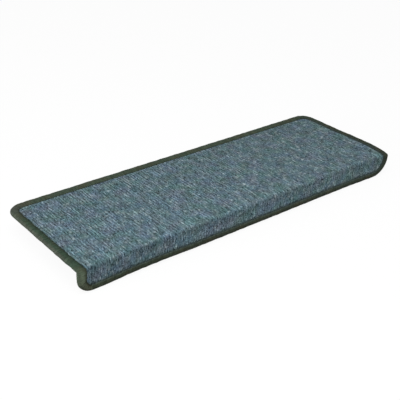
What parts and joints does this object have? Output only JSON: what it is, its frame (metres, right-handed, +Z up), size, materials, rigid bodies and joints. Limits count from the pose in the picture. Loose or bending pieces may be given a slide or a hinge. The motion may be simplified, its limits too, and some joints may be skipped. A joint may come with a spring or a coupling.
{
  "type": "stair tread mat",
  "caption": "Looped-pile carpet strip with a whipped edge, folded down over the front of a stair tread, with a non-slip backing.",
  "frame": {"origin": "on the underside of the tread, midway along its length and midway between the fold and the back edge", "axes": "+X along the step, +Y towards the back of the tread, +Z up out of the pile"},
  "size_m": [0.65, 0.2162, 0.0416],
  "materials": {
    "loop_pile": "mottled slate blue looped yarn, matt",
    "backing_sheet": "dark grey, fine grip texture, matt",
    "edge_yarn": "dark grey-green whipped yarn, matt"
  },
  "bodies": {
    "root": {"looped_carpet": "loop_pile", "non_slip_backing": "backing_sheet", "whipped_edge": "edge_yarn"}
  },
  "joints": []
}
